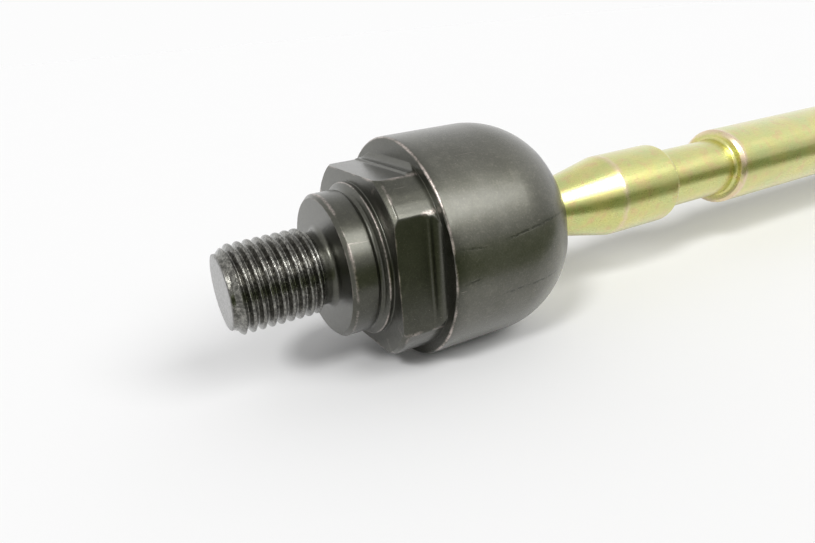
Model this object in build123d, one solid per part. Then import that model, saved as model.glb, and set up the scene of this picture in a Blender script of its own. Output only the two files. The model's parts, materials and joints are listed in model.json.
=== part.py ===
from build123d import *

import math
import os

# Inner tie rod end (rack end), in millimetres.
# The axis of the whole assembly is X. The rack stud points to -X, the rod to +X, and Z is up.
# The origin is on the axis, at the inner end of the stud's thread, where the undercut starts.

# Rack stud: M14 x 1.5, drawn at its major diameter
STUD_RADIUS = 7.0
STUD_THREAD_LENGTH = 13.35
STUD_TIP_RADIUS = 5.3
UNDERCUT_RADIUS = 5.9
UNDERCUT_LENGTH = 3.0
UNDERCUT_FILLET = 1.3

# Collar, step ring and wrench flange, measured along the axis from the shoulder
SHOULDER_X = UNDERCUT_LENGTH
COLLAR_RADIUS = 11.65
COLLAR_CHAMFER = 0.6
COLLAR_LENGTH = 4.2
GROOVE_RADIUS = 11.1
GROOVE_END = 5.1
RING_RADIUS = 12.6
RING_START = 5.5
FLANGE_START = 6.25
FLANGE_RADIUS = 16.85
FLANGE_CHAMFER_LENGTH = 0.75
FLANGE_CHAMFER_DEPTH = 0.6
FLATS_COUNT = 4
FLATS_WIDTH = 28.2
FLATS_FILLET = 1.2

# Socket body, measured along the axis from the shoulder
BODY_START = 13.4
BODY_RADIUS = 18.55
BODY_EDGE = 0.4
DOME_START = 27.8
DOME_RADIUS = 15.0
MOUTH_ANGLE = 44.5
MOUTH_EDGE = 0.5

# Ball and the space around it
BALL_X = SHOULDER_X + 26.5
BALL_RADIUS = 12.5
BALL_REAR_FLAT_RADIUS = 3.5
SEAT_BORE_RADIUS = 12.7
GREASE_GAP = 0.05
CAVITY_RADIUS = 15.5
CAVITY_CYLINDER_START = 17.0
POCKET_RADIUS = 10.3
POCKET_FLOOR = 9.6
SEAT_CLEARANCE = 0.06

# Rear ball seat, front ball seat, disc spring and thrust washer
SEAT_JOINT_GAP = 0.3
FRONT_SEAT_ANGLE = 52.0
GREASE_SLOT_COUNT = 4
GREASE_SLOT_WIDTH = 2.0
GREASE_SLOT_DEPTH = 0.9
RESERVOIR_RADIUS = 2.6
SPRING_OUTER_RADIUS = 9.8
SPRING_INNER_RADIUS = 4.1
SPRING_THICKNESS = 0.9
SPRING_CONE = 0.7
WASHER_THICKNESS = 1.0
WASHER_OUTER_RADIUS = 10.0
WASHER_INNER_RADIUS = 3.0
STACK_GAP = 0.02
GREASE_FILM_ANGLE = 58.0

# Tie rod, measured along the axis from the shoulder
NECK_RADIUS = 4.8
NECK_FILLET = 1.0
NECK_END = 43.6
CONE_END = 58.7
BAND_RADIUS = 7.9
BAND_END = 73.0
BAND_EDGE = 1.2
BOOT_GROOVE_RADIUS = 6.0
BOOT_GROOVE_END = 92.2
BOOT_GROOVE_FILLET = 0.9
ROD_RADIUS = 8.0
ROD_EDGE = 0.6
ROD_FLATS_START = 202.0
ROD_FLATS_LENGTH = 16.0
ROD_FLATS_WIDTH = 13.0
ROD_FLATS_RADIUS = 3.0
RELIEF_START = 221.0
RELIEF_LENGTH = 3.0
RELIEF_RADIUS = 5.9
OUTER_THREAD_RADIUS = 7.0
OUTER_THREAD_CHAMFER = 1.3
ROD_END = 283.65
VALLEY_WIDTH = 1.5
VALLEY_DEPTH = 0.9

# Jam nut: thin M14 x 1.5 hexagon, measured along the axis from the shoulder
NUT_START = 232.0
NUT_THICKNESS = 8.0
NUT_WIDTH = 22.0
NUT_BORE_RADIUS = 7.06
NUT_COUNTERSINK = 0.6
NUT_FACE_RADIUS = 10.3
NUT_CORNER_SLOPE = 30.0


def station(distance):
    """X of a point at this distance from the shoulder."""
    return SHOULDER_X + distance


def lathe(outline):
    """Solid of revolution about X of a closed outline drawn as (x, radius)."""
    return revolve(make_face(outline), Axis.X)


def polar(distance, angle):
    """(x, radius) of a point seen from the ball's centre, at this angle from +X."""
    turn = math.radians(angle)
    return (BALL_X + distance * math.cos(turn), distance * math.sin(turn))


def dome_point(angle):
    """(x, radius) where a ray from the ball's centre leaves the outer dome."""
    centre_x = station(DOME_START) - BALL_X
    centre_r = BODY_RADIUS - DOME_RADIUS
    turn = math.radians(angle)
    along = centre_x * math.cos(turn) + centre_r * math.sin(turn)
    off_centre = centre_x**2 + centre_r**2
    return polar(along + math.sqrt(along**2 + DOME_RADIUS**2 - off_centre), angle)


def arc(start, middle, end):
    return ThreePointArc(start, middle, end)


def ball_arc(radius, first_angle, last_angle):
    """Arc about the ball's centre, between two angles from +X."""
    middle = (first_angle + last_angle) / 2
    return arc(polar(radius, first_angle), polar(radius, middle), polar(radius, last_angle))


def angle_at(radius, offset):
    """Angle from +X of the point of a sphere about the ball's centre that is this far along X."""
    return math.degrees(math.acos(offset / radius))


def rounded_block(length, width, height, radius):
    """Block on Z = 0 whose two lower edges along Y are rounded at the +X end."""
    block = Box(length, width, height, align=(Align.MAX, Align.CENTER, Align.MIN))
    edges = block.edges().filter_by(Axis.Y)
    return fillet(edges.sort_by_distance((0, 0, 0))[0], radius)


def housing_outside():
    """Outline of the housing from the stud's tip to the outer edge of the mouth."""
    tip_x = -STUD_THREAD_LENGTH
    run_out = STUD_RADIUS - UNDERCUT_RADIUS
    flange_x = station(FLANGE_START)
    body_x = station(BODY_START)
    dome_x = station(DOME_START)
    dome_centre = (dome_x, BODY_RADIUS - DOME_RADIUS)
    mouth = dome_point(MOUTH_ANGLE)
    mouth_turn = math.atan2(mouth[1] - dome_centre[1], mouth[0] - dome_centre[0])
    half_turn = (mouth_turn + math.pi / 2) / 2
    dome_middle = (
        dome_centre[0] + DOME_RADIUS * math.cos(half_turn),
        dome_centre[1] + DOME_RADIUS * math.sin(half_turn),
    )
    corner = math.sqrt(0.5)
    return [
        Polyline(
            (tip_x, 0),
            (tip_x, STUD_TIP_RADIUS),
            (tip_x + STUD_RADIUS - STUD_TIP_RADIUS, STUD_RADIUS),
            (0, STUD_RADIUS),
            (run_out, UNDERCUT_RADIUS),
            (SHOULDER_X - UNDERCUT_FILLET, UNDERCUT_RADIUS),
        ),
        arc(
            (SHOULDER_X - UNDERCUT_FILLET, UNDERCUT_RADIUS),
            (
                SHOULDER_X - UNDERCUT_FILLET * (1 - corner),
                UNDERCUT_RADIUS + UNDERCUT_FILLET * (1 - corner),
            ),
            (SHOULDER_X, UNDERCUT_RADIUS + UNDERCUT_FILLET),
        ),
        Polyline(
            (SHOULDER_X, UNDERCUT_RADIUS + UNDERCUT_FILLET),
            (SHOULDER_X, COLLAR_RADIUS - COLLAR_CHAMFER),
            (station(COLLAR_CHAMFER), COLLAR_RADIUS),
            (station(COLLAR_LENGTH), COLLAR_RADIUS),
        ),
        arc(
            (station(COLLAR_LENGTH), COLLAR_RADIUS),
            (station((COLLAR_LENGTH + GROOVE_END) / 2), GROOVE_RADIUS),
            (station(GROOVE_END), COLLAR_RADIUS),
        ),
        Polyline(
            (station(GROOVE_END), COLLAR_RADIUS),
            (station(RING_START), RING_RADIUS),
            (flange_x, RING_RADIUS),
            (flange_x, FLANGE_RADIUS - FLANGE_CHAMFER_DEPTH),
            (flange_x + FLANGE_CHAMFER_LENGTH, FLANGE_RADIUS),
            (body_x, FLANGE_RADIUS),
            (body_x, BODY_RADIUS - BODY_EDGE),
        ),
        arc(
            (body_x, BODY_RADIUS - BODY_EDGE),
            (body_x + BODY_EDGE * (1 - corner), BODY_RADIUS - BODY_EDGE * (1 - corner)),
            (body_x + BODY_EDGE, BODY_RADIUS),
        ),
        Line((body_x + BODY_EDGE, BODY_RADIUS), (dome_x, BODY_RADIUS)),
        arc((dome_x, BODY_RADIUS), dome_middle, mouth),
    ]


def housing_inside():
    """Outline of the ball cavity, from the inner edge of the mouth to the pocket floor."""
    wall_end = polar(CAVITY_RADIUS, 90)
    taper_end = station(CAVITY_CYLINDER_START) - (CAVITY_RADIUS - POCKET_RADIUS)
    return [
        Line(dome_point(MOUTH_ANGLE), polar(CAVITY_RADIUS, MOUTH_ANGLE)),
        ball_arc(CAVITY_RADIUS, MOUTH_ANGLE, 90),
        Polyline(
            wall_end,
            (station(CAVITY_CYLINDER_START), CAVITY_RADIUS),
            (taper_end, POCKET_RADIUS),
            (station(POCKET_FLOOR), POCKET_RADIUS),
            (station(POCKET_FLOOR), 0),
            (-STUD_THREAD_LENGTH, 0),
        ),
    ]


def make_housing():
    outline = housing_outside() + housing_inside()
    section = make_face(outline)
    mouth_corner = section.vertices().sort_by_distance(dome_point(MOUTH_ANGLE))[0]
    section = fillet(mouth_corner, MOUTH_EDGE)
    housing = revolve(section, Axis.X)
    cut_length = BODY_START - FLANGE_START + FLANGE_CHAMFER_LENGTH
    cutter = rounded_block(cut_length, 4 * BODY_RADIUS, BODY_RADIUS, FLATS_FILLET)
    cutter = Pos(station(BODY_START), 0, FLATS_WIDTH / 2) * cutter
    for number in range(FLATS_COUNT):
        housing -= Rot(number * 360 / FLATS_COUNT, 0, 0) * cutter
    return housing


def make_grease_slots():
    """Crossed slots along the ball, which carry grease over the seats."""
    ball_space = Pos(BALL_X, 0, 0) * Sphere(SEAT_BORE_RADIUS + GREASE_SLOT_DEPTH)
    slots = []
    for number in range(GREASE_SLOT_COUNT // 2):
        plate = Box(4 * BALL_RADIUS, GREASE_SLOT_WIDTH, 4 * BALL_RADIUS)
        turn = number * 360 / GREASE_SLOT_COUNT
        slots.append(ball_space & Pos(BALL_X, 0, 0) * Rot(turn, 0, 0) * plate)
    return slots


def make_front_ball_seat():
    outer_radius = CAVITY_RADIUS - SEAT_CLEARANCE
    joint = SEAT_JOINT_GAP / 2
    inner_start = angle_at(SEAT_BORE_RADIUS, joint)
    outer_start = angle_at(outer_radius, joint)
    seat = lathe(
        [
            ball_arc(SEAT_BORE_RADIUS, FRONT_SEAT_ANGLE, inner_start),
            Line(polar(SEAT_BORE_RADIUS, inner_start), polar(outer_radius, outer_start)),
            ball_arc(outer_radius, outer_start, FRONT_SEAT_ANGLE),
            Line(polar(outer_radius, FRONT_SEAT_ANGLE), polar(SEAT_BORE_RADIUS, FRONT_SEAT_ANGLE)),
        ]
    )
    for slot in make_grease_slots():
        seat -= slot
    return seat


def stack_faces():
    """X of the disc spring's back, the washer's back and the rear seat's back."""
    spring_x = station(POCKET_FLOOR) + STACK_GAP
    washer_x = spring_x + SPRING_CONE + SPRING_THICKNESS + STACK_GAP
    seat_x = washer_x + WASHER_THICKNESS + STACK_GAP
    return spring_x, washer_x, seat_x


def make_rear_ball_seat():
    seat_x = stack_faces()[2]
    outer_radius = CAVITY_RADIUS - SEAT_CLEARANCE
    joint = -SEAT_JOINT_GAP / 2
    inner_start = angle_at(SEAT_BORE_RADIUS, joint)
    outer_start = angle_at(outer_radius, joint)
    reservoir_angle = 180 - math.degrees(math.asin(RESERVOIR_RADIUS / SEAT_BORE_RADIUS))
    taper_x = station(CAVITY_CYLINDER_START)
    back_radius = CAVITY_RADIUS - (taper_x - seat_x) - 2 * SEAT_CLEARANCE
    seat = lathe(
        [
            ball_arc(SEAT_BORE_RADIUS, inner_start, reservoir_angle),
            Polyline(
                polar(SEAT_BORE_RADIUS, reservoir_angle),
                (seat_x, RESERVOIR_RADIUS),
                (seat_x, back_radius),
                (taper_x + SEAT_CLEARANCE, outer_radius),
                (BALL_X + joint, outer_radius),
                polar(SEAT_BORE_RADIUS, inner_start),
            ),
        ]
    )
    for slot in make_grease_slots():
        seat -= slot
    return seat


def make_preload_disc_spring():
    back = stack_faces()[0]
    return lathe(
        Polyline(
            (back, SPRING_OUTER_RADIUS),
            (back + SPRING_THICKNESS, SPRING_OUTER_RADIUS),
            (back + SPRING_THICKNESS + SPRING_CONE, SPRING_INNER_RADIUS),
            (back + SPRING_CONE, SPRING_INNER_RADIUS),
            close=True,
        )
    )


def make_thrust_washer():
    back = stack_faces()[1]
    return lathe(
        Polyline(
            (back, WASHER_INNER_RADIUS),
            (back, WASHER_OUTER_RADIUS),
            (back + WASHER_THICKNESS, WASHER_OUTER_RADIUS),
            (back + WASHER_THICKNESS, WASHER_INNER_RADIUS),
            close=True,
        )
    )


def make_ball_grease():
    """Thin shell of grease over the part of the ball that the seats cover."""
    inner = BALL_RADIUS + GREASE_GAP
    outer = SEAT_BORE_RADIUS - GREASE_GAP
    return lathe(
        [
            ball_arc(inner, GREASE_FILM_ANGLE, 180),
            Line(polar(inner, 180), polar(outer, 180)),
            ball_arc(outer, 180, GREASE_FILM_ANGLE),
            Line(polar(outer, GREASE_FILM_ANGLE), polar(inner, GREASE_FILM_ANGLE)),
        ]
    )


def rod_section():
    """Half section of the tie rod, from the ball's rear flat to the outer end."""
    rear_angle = 180 - math.degrees(math.asin(BALL_REAR_FLAT_RADIUS / BALL_RADIUS))
    neck_angle = math.degrees(math.asin(NECK_RADIUS / BALL_RADIUS))
    rear = polar(BALL_RADIUS, rear_angle)
    neck = polar(BALL_RADIUS, neck_angle)
    band_drop = BAND_RADIUS - BOOT_GROOVE_RADIUS
    band_foot = (station(BAND_END) + band_drop / 2, BOOT_GROOVE_RADIUS)
    groove_end = (station(BOOT_GROOVE_END), BOOT_GROOVE_RADIUS)
    nut_end = station(NUT_START + NUT_THICKNESS)
    thread_start = station(RELIEF_START + RELIEF_LENGTH)
    shank_step = ROD_RADIUS - RELIEF_RADIUS
    thread_step = OUTER_THREAD_RADIUS - RELIEF_RADIUS
    section = make_face(
        [
            Line((rear[0], 0), rear),
            ball_arc(BALL_RADIUS, rear_angle, neck_angle),
            Polyline(
                neck,
                (station(NECK_END), NECK_RADIUS),
                (station(CONE_END), BAND_RADIUS),
                (station(BAND_END), BAND_RADIUS),
                band_foot,
                groove_end,
                (station(BOOT_GROOVE_END), ROD_RADIUS - ROD_EDGE),
                (station(BOOT_GROOVE_END) + ROD_EDGE, ROD_RADIUS),
                (station(RELIEF_START) - shank_step, ROD_RADIUS),
                (station(RELIEF_START), RELIEF_RADIUS),
                (thread_start - thread_step, RELIEF_RADIUS),
                (thread_start, OUTER_THREAD_RADIUS),
                (nut_end - VALLEY_WIDTH, OUTER_THREAD_RADIUS),
                (nut_end - VALLEY_WIDTH / 2, OUTER_THREAD_RADIUS - VALLEY_DEPTH),
                (nut_end, OUTER_THREAD_RADIUS),
                (station(ROD_END) - OUTER_THREAD_CHAMFER, OUTER_THREAD_RADIUS),
                (station(ROD_END), OUTER_THREAD_RADIUS - OUTER_THREAD_CHAMFER),
                (station(ROD_END), 0),
                (rear[0], 0),
            ),
        ]
    )
    roundings = [
        (neck, NECK_FILLET),
        ((station(BAND_END), BAND_RADIUS), BAND_EDGE),
        (band_foot, BAND_EDGE),
        (groove_end, BOOT_GROOVE_FILLET),
    ]
    for point, radius in roundings:
        section = fillet(section.vertices().sort_by_distance(point)[0], radius)
    return section


def make_tie_rod():
    rod = revolve(rod_section(), Axis.X)
    cutter = Box(ROD_FLATS_LENGTH, 4 * ROD_RADIUS, ROD_RADIUS, align=(Align.MIN, Align.CENTER, Align.MIN))
    lower_edges = cutter.edges().filter_by(Axis.Y).group_by(Axis.Z)[0]
    cutter = Pos(station(ROD_FLATS_START), 0, ROD_FLATS_WIDTH / 2) * fillet(lower_edges, ROD_FLATS_RADIUS)
    for turn in (0, 180):
        rod -= Rot(turn, 0, 0) * cutter
    return rod


def make_jam_nut():
    start = station(NUT_START)
    end = start + NUT_THICKNESS
    corner_radius = NUT_WIDTH / math.sqrt(3)
    corner_step = (corner_radius - NUT_FACE_RADIUS) * math.tan(math.radians(NUT_CORNER_SLOPE))
    hexagon = RegularPolygon(NUT_WIDTH / 2, 6, major_radius=False)
    prism = Pos(start, 0, 0) * Rot(0, 90, 0) * extrude(hexagon, NUT_THICKNESS)
    envelope = lathe(
        Polyline(
            (start, 0),
            (start, NUT_FACE_RADIUS),
            (start + corner_step, corner_radius),
            (end - corner_step, corner_radius),
            (end, NUT_FACE_RADIUS),
            (end, 0),
            close=True,
        )
    )
    bore = lathe(
        Polyline(
            (start, 0),
            (start, NUT_BORE_RADIUS + NUT_COUNTERSINK),
            (start + NUT_COUNTERSINK, NUT_BORE_RADIUS),
            (end - NUT_COUNTERSINK, NUT_BORE_RADIUS),
            (end, NUT_BORE_RADIUS + NUT_COUNTERSINK),
            (end, 0),
            close=True,
        )
    )
    return (prism & envelope) - bore


PARTS = {
    "housing": make_housing,
    "front_ball_seat": make_front_ball_seat,
    "rear_ball_seat": make_rear_ball_seat,
    "preload_disc_spring": make_preload_disc_spring,
    "thrust_washer": make_thrust_washer,
    "ball_grease": make_ball_grease,
    "tie_rod": make_tie_rod,
    "jam_nut": make_jam_nut,
}

os.makedirs("parts", exist_ok=True)
for name, make in PARTS.items():
    export_step(make(), f"parts/{name}.step")
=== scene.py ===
import json
import math

import bpy
import numpy as np
from mathutils import Matrix, Vector


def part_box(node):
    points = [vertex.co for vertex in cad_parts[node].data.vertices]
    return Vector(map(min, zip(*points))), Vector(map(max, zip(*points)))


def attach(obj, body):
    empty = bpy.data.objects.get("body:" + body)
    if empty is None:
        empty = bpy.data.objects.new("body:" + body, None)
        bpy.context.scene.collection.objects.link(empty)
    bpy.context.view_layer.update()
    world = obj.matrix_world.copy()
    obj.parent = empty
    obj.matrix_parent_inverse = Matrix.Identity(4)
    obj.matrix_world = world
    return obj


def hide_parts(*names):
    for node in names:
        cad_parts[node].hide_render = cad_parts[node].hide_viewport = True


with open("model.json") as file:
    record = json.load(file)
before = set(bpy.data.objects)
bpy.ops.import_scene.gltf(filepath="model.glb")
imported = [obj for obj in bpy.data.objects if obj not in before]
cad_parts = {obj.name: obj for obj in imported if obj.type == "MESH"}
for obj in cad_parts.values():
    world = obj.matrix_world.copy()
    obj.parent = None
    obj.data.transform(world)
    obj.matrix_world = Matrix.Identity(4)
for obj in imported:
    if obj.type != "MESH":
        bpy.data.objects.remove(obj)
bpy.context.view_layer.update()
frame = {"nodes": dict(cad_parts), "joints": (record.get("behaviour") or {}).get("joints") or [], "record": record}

# Lengths below are in millimetres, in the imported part's frame; meshes are made in metres.
MM = 0.001
MOUNTS = {mount["name"]: mount for mount in frame["record"]["mounts"]}
JOINTS = {joint["name"]: joint for joint in frame["joints"]}
HOUSING_BOX = [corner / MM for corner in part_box("housing")]
ROD_BOX = [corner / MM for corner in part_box("tie_rod")]

# Threads: M14 x 1.5, right-hand
PITCH = 1.5
THREAD_DEPTH = 0.92
CREST_HALF_WIDTH = 0.13
FLANK_SLOPE = 1 / math.tan(math.radians(30))
THREAD_ROUNDING = 0.16
STUD_THREAD_BLEND = 0.08
OUTER_THREAD_BLEND = 0.06
STUD_RINGS_PER_TURN = 16
OUTER_RINGS_PER_TURN = 10
STUD_RADIUS = MOUNTS["rack_stud"]["dims"]["r_mm"]
OUTER_THREAD_RADIUS = MOUNTS["outer_thread"]["dims"]["r_mm"]

# Radius of the small ring beside the axis where a mesh closes, except at the rod's outer end
HUB_RADIUS = 0.4

# Housing, from the stud's tip to the mouth. The stud's root is at 0.
TIP_X = HOUSING_BOX[0].x
TIP_EDGE_LENGTH = 0.4
STUD_THREAD_START = TIP_X + 0.05
STUD_THREAD_END = 1.05
SHOULDER_X = MOUNTS["rack_shoulder"]["pos_m"][0] / MM
TIP_RADIUS = 5.3
UNDERCUT_RADIUS = 5.9
UNDERCUT_FILLET = 1.3
COLLAR_RADIUS = 11.65
COLLAR_CHAMFER = 0.6
COLLAR_END = SHOULDER_X + 4.2
GROOVE_RADIUS = 11.1
GROOVE_END = SHOULDER_X + 5.1
RING_X = SHOULDER_X + 5.5
RING_RADIUS = 12.6
FLANGE_X = SHOULDER_X + 6.25
FLANGE_RADIUS = 16.85
FLANGE_CHAMFER_LENGTH = 0.75
FLANGE_CHAMFER_DEPTH = 0.6
FLANGE_WEAR_SEED = 11
FLANGE_WEAR = 0.02
BODY_X = SHOULDER_X + 13.4
BODY_RADIUS = HOUSING_BOX[1].y
BODY_EDGE = 0.4
BODY_EDGE_SEED = 5
BODY_EDGE_WAVES = 0.022
BODY_EDGE_WEAR = 0.03
BODY_EDGE_WEAR_LENGTH = 0.8
DOME_X = SHOULDER_X + 27.8
DOME_RADIUS = 15.0
LIP_X = SHOULDER_X + 35.2
MOUTH_ANGLE = 44.5

# The mouth's lip, rolled in over the ball: a few broad facets, deepest at the mouth and gone LIP_LENGTH
# back from it. Its dark colour starts at LIP_X.
FACET_SEED = 23
FACET_COUNT = 14
FACET_SCATTER = 0.28
FACET_DEPTH = 0.30
LIP_DEPTH = 0.06
LIP_LENGTH = 4.5

# Wrench flats: the milled face steps up once before it runs into the body's face
FLATS_COUNT = 4
FLAT_HEIGHT = 14.1
FLAT_STEP_X = BODY_X - 1.95
FLAT_STEP_LENGTH = 0.45
FLAT_STEP_HEIGHT = 0.28
FLAT_FILLET = 1.15
FLAT_EDGE_ROUNDING = 0.14
# Samples round a ring are placed as if the flat's height were at most this share of the radius
HIGHEST_FLAT_SHARE = 0.97

# Fine seams left along the forged body: angle from +Y in degrees, where it starts and ends along the
# axis, and how many degrees it drifts per millimetre. The half width and the wobble are in radians.
SEAMS = (
    (169.0, 25.3, 40.5, -0.45),
    (196.0, 24.2, 37.0, -0.17),
    (167.5, 17.0, 22.8, 0.4),
    (185.0, 17.0, 21.8, -0.4),
    (40.0, 21.0, 33.0, 0.2),
    (-75.0, 19.0, 30.0, -0.3),
)
SEAM_HALF_WIDTH = 0.006
SEAM_SOFT_EDGE = 2.2
SEAM_WOBBLE = 0.03
SEAM_START_FADE = 2.0
SEAM_END_FADE = 1.5

# Ball and its cavity
BALL_X = JOINTS["ball_swing"]["pos_m"][0] / MM
BALL_RADIUS = 12.5
BALL_REAR_FLAT_RADIUS = 3.5
CAVITY_RADIUS = 15.5
CAVITY_CYLINDER_X = SHOULDER_X + 17.0
POCKET_RADIUS = 10.3
POCKET_X = SHOULDER_X + 9.6

# Tie rod
ROD_SEGMENTS = 120
NECK_RADIUS = 4.8
NECK_BLEND = 1.2
NECK_END = SHOULDER_X + 43.6
CONE_END = SHOULDER_X + 58.7
BAND_RADIUS = 7.9
BAND_END = SHOULDER_X + 73.0
BAND_EDGE = 1.2
BOOT_GROOVE_RADIUS = MOUNTS["bellows_groove"]["dims"]["r_mm"]
BOOT_GROOVE_END = SHOULDER_X + 92.2
ROD_RADIUS = 8.0
ROD_EDGE = 0.6
ROD_FLATS_X = SHOULDER_X + 202.0
ROD_FLATS_LENGTH = 16.0
ROD_FLAT_HEIGHT = 6.5
ROD_FLATS_RADIUS = 3.0
# The rod's plain rings stop this far short of the flats, and the flats' own rings reach this far past them
ROD_FLATS_GAP = 0.5
ROD_FLATS_REACH = 0.4
ROD_FLATS_BLEND = 0.08
RELIEF_X = SHOULDER_X + 221.0
RELIEF_LENGTH = 3.0
RELIEF_RADIUS = 5.9
OUTER_CHAMFER = 1.3
ROD_END = ROD_BOX[1].x

# Camera: a short lens close to the part, turned a little about its own axis
CAMERA_POSITION = (-30.54, -93.72, 35.04)
CAMERA_DIRECTION = (0.4306, 0.8308, -0.3525)
CAMERA_UP = (0.2412, 0.2705, 0.9320)
CAMERA_LENS = 29.01
CAMERA_NEAREST = 5.0
FLOOR_Z = -BODY_RADIUS
FLOOR_HALF_WIDTH = 6000.0

# Light
KEY_AZIMUTH = 27.0
KEY_ELEVATION = 41.5
KEY_SPREAD = 32.0
KEY_STRENGTH = 1.38
SIDE_AZIMUTH = -54.0
SIDE_ELEVATION = 44.0
SIDE_SPREAD = 13.0
SIDE_STRENGTH = 1.38
ROOM_BRIGHTNESS = 1.05
NEAR_SIDE_DIMMING = 0.45
OVERHEAD_DIMMING = 0.25
FILL_LOW = 0.385
FILL_HIGH = 0.745
FILL_TO_RIGHT = 0.55
FILL_TO_BACK = 0.83
BACKDROP = 0.975
FLAG_Y = -43.0
FLAG_TOP = 6.5
FLAG_START_X = -60.0
FLAG_END_X = 500.0
FLAG_GLOW = (0.20, 0.23, 0.12)

# Colours, linear
MACHINED_GREY = (0.066, 0.066, 0.051)
FORGED_GREY = (0.114, 0.113, 0.093)
OILY_DARK = (0.070, 0.069, 0.060)
OILY_LIGHT = (0.26, 0.256, 0.235)
TIP_DARK = (0.06, 0.059, 0.054)
TIP_LIGHT = (0.19, 0.186, 0.175)
DARKER = (0.70, 0.70, 0.66)
LIGHTER = (1.9, 1.85, 1.8)
SEAM_BLACK = (0.012, 0.012, 0.010)
LIP_BLACK = (0.018, 0.018, 0.016)
BARE_STEEL = (0.45, 0.39, 0.355)
ZINC_GOLD = (0.72, 0.67, 0.24)
ZINC_GREEN = (0.60, 0.65, 0.26)
ZINC_PINK = (0.72, 0.52, 0.26)
ZINC_STREAK = (0.74, 0.62, 0.28)
ZINC_OLIVE = (0.42, 0.40, 0.13)
# Pale bronze of the painted highlight along the rod's edges
ZINC_PAINTED_HIGHLIGHT = (0.80, 0.61, 0.47)
ACETAL_WHITE = (0.78, 0.76, 0.69)
ACETAL_CREAM = (0.70, 0.64, 0.50)
GREASE_AMBER = (0.62, 0.42, 0.13)
GREASE_BROWN = (0.45, 0.27, 0.07)
SPRING_BLUE = (0.20, 0.21, 0.26)
SPRING_GREY = (0.27, 0.26, 0.27)
WASHER_LIGHT = (0.55, 0.55, 0.54)
WASHER_DARK = (0.47, 0.47, 0.47)
TABLE_DARK = (0.864, 0.864, 0.864)
TABLE_LIGHT = (0.870, 0.870, 0.870)


# ---------------------------------------------------------------- mesh helpers


def steps(start, end, spacing):
    """Evenly spaced values from start to end, both included, at most this far apart."""
    count = max(1, math.ceil(abs(end - start) / spacing))
    return np.linspace(start, end, count + 1)


def rounded_outline(corners, spacing):
    """Points along straight runs between (x, radius, rounding) corners, with each corner rounded."""
    points = [Vector(corners[0][:2])]
    last = len(corners) - 1
    for number in range(1, last + 1):
        here = Vector(corners[number][:2])
        rounding = corners[number][2]
        bend = []
        if 0 < number < last and rounding > 0:
            before = Vector(corners[number - 1][:2])
            after = Vector(corners[number + 1][:2])
            bend = corner_arc(before, here, after, rounding)
        run_end = bend[0] if bend else here
        run = run_end - points[-1]
        count = max(1, math.ceil(run.length / spacing))
        points += [points[-1] + run * (step / count) for step in range(1, count + 1)]
        points += bend[1:]
    return points


def corner_arc(before, here, after, rounding):
    """Points of the arc that rounds a corner, about 15 degrees apart."""
    backward = (before - here).normalized()
    forward = (after - here).normalized()
    turn = math.pi - backward.angle(forward)
    reach = rounding * math.tan(turn / 2)
    reach = min(reach, 0.49 * (before - here).length, 0.49 * (after - here).length)
    count = max(2, math.ceil(math.degrees(turn) / 15))
    start = here + backward * reach
    end = here + forward * reach
    centre = here + (backward + forward).normalized() * (reach / math.sin(turn / 2))
    radius = (start - centre).length
    points = []
    for step in range(count + 1):
        share = step / count
        chord = start.lerp(end, share) - centre
        points.append(centre + chord.normalized() * radius)
    return points


def arc_points(centre_x, centre_r, radius, first_angle, last_angle, spacing):
    """Points of an arc in the (x, radius) plane, angles in degrees from +X."""
    count = max(2, math.ceil(abs(math.radians(last_angle - first_angle)) * radius / spacing))
    angles = np.radians(np.linspace(first_angle, last_angle, count + 1))
    return [Vector((centre_x + radius * math.cos(a), centre_r + radius * math.sin(a))) for a in angles]


def smooth_min(a, b, blend):
    """The lesser of two surfaces, with the edge between them rounded over about this much."""
    share = np.clip(0.5 + 0.5 * (b - a) / blend, 0, 1)
    return b + (a - b) * share - blend * share * (1 - share)


def thread_surface(x, angle, radius):
    """Radius of a right-hand thread at each angle, with rounded crests and roots."""
    place = (x / PITCH - angle / (2 * math.pi)) % 1.0
    from_crest = np.abs(place - 0.5) * PITCH
    drop = (from_crest - CREST_HALF_WIDTH) * FLANK_SLOPE
    drop = -smooth_min(-drop, np.zeros_like(drop), THREAD_ROUNDING)
    drop = smooth_min(drop, np.full_like(drop, THREAD_DEPTH), THREAD_ROUNDING)
    return radius - np.maximum(drop, 0)


def seeded_wave(angle, seed, terms, amplitude):
    """A wavy value round a circle, always the same for one seed."""
    random = np.random.default_rng(seed)
    value = np.zeros_like(angle)
    for number in terms:
        value += random.normal() * np.cos(number * angle + random.uniform(0, 2 * math.pi))
    return amplitude * value / math.sqrt(len(terms))


def mesh_from_rings(name, rings):
    """Closed mesh from rings of (x, radii, angles), each ring joined to the next, with a point on the axis
    at both ends."""
    count = len(rings[0][1])
    points = [(rings[0][0], 0.0, 0.0)]
    for x, radii, angles in rings:
        across = radii * np.cos(angles)
        up = radii * np.sin(angles)
        along = np.broadcast_to(x, radii.shape)
        points += list(zip(along, across, up))
    points.append((rings[-1][0], 0.0, 0.0))
    faces = []
    for segment in range(count):
        following = (segment + 1) % count
        faces.append((0, 1 + following, 1 + segment))
        for ring in range(len(rings) - 1):
            near = 1 + ring * count
            far = near + count
            faces.append((near + segment, near + following, far + following, far + segment))
        last = 1 + (len(rings) - 1) * count
        faces.append((last + segment, last + following, len(points) - 1))
    mesh = bpy.data.meshes.new(name)
    mesh.from_pydata([tuple(value * MM for value in point) for point in points], [], faces)
    mesh.polygons.foreach_set("use_smooth", [True] * len(mesh.polygons))
    mesh.validate()
    piece = bpy.data.objects.new(name, mesh)
    bpy.context.scene.collection.objects.link(piece)
    even_normals = piece.modifiers.new("even normals", "WEIGHTED_NORMAL")
    even_normals.keep_sharp = True
    return piece


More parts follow.
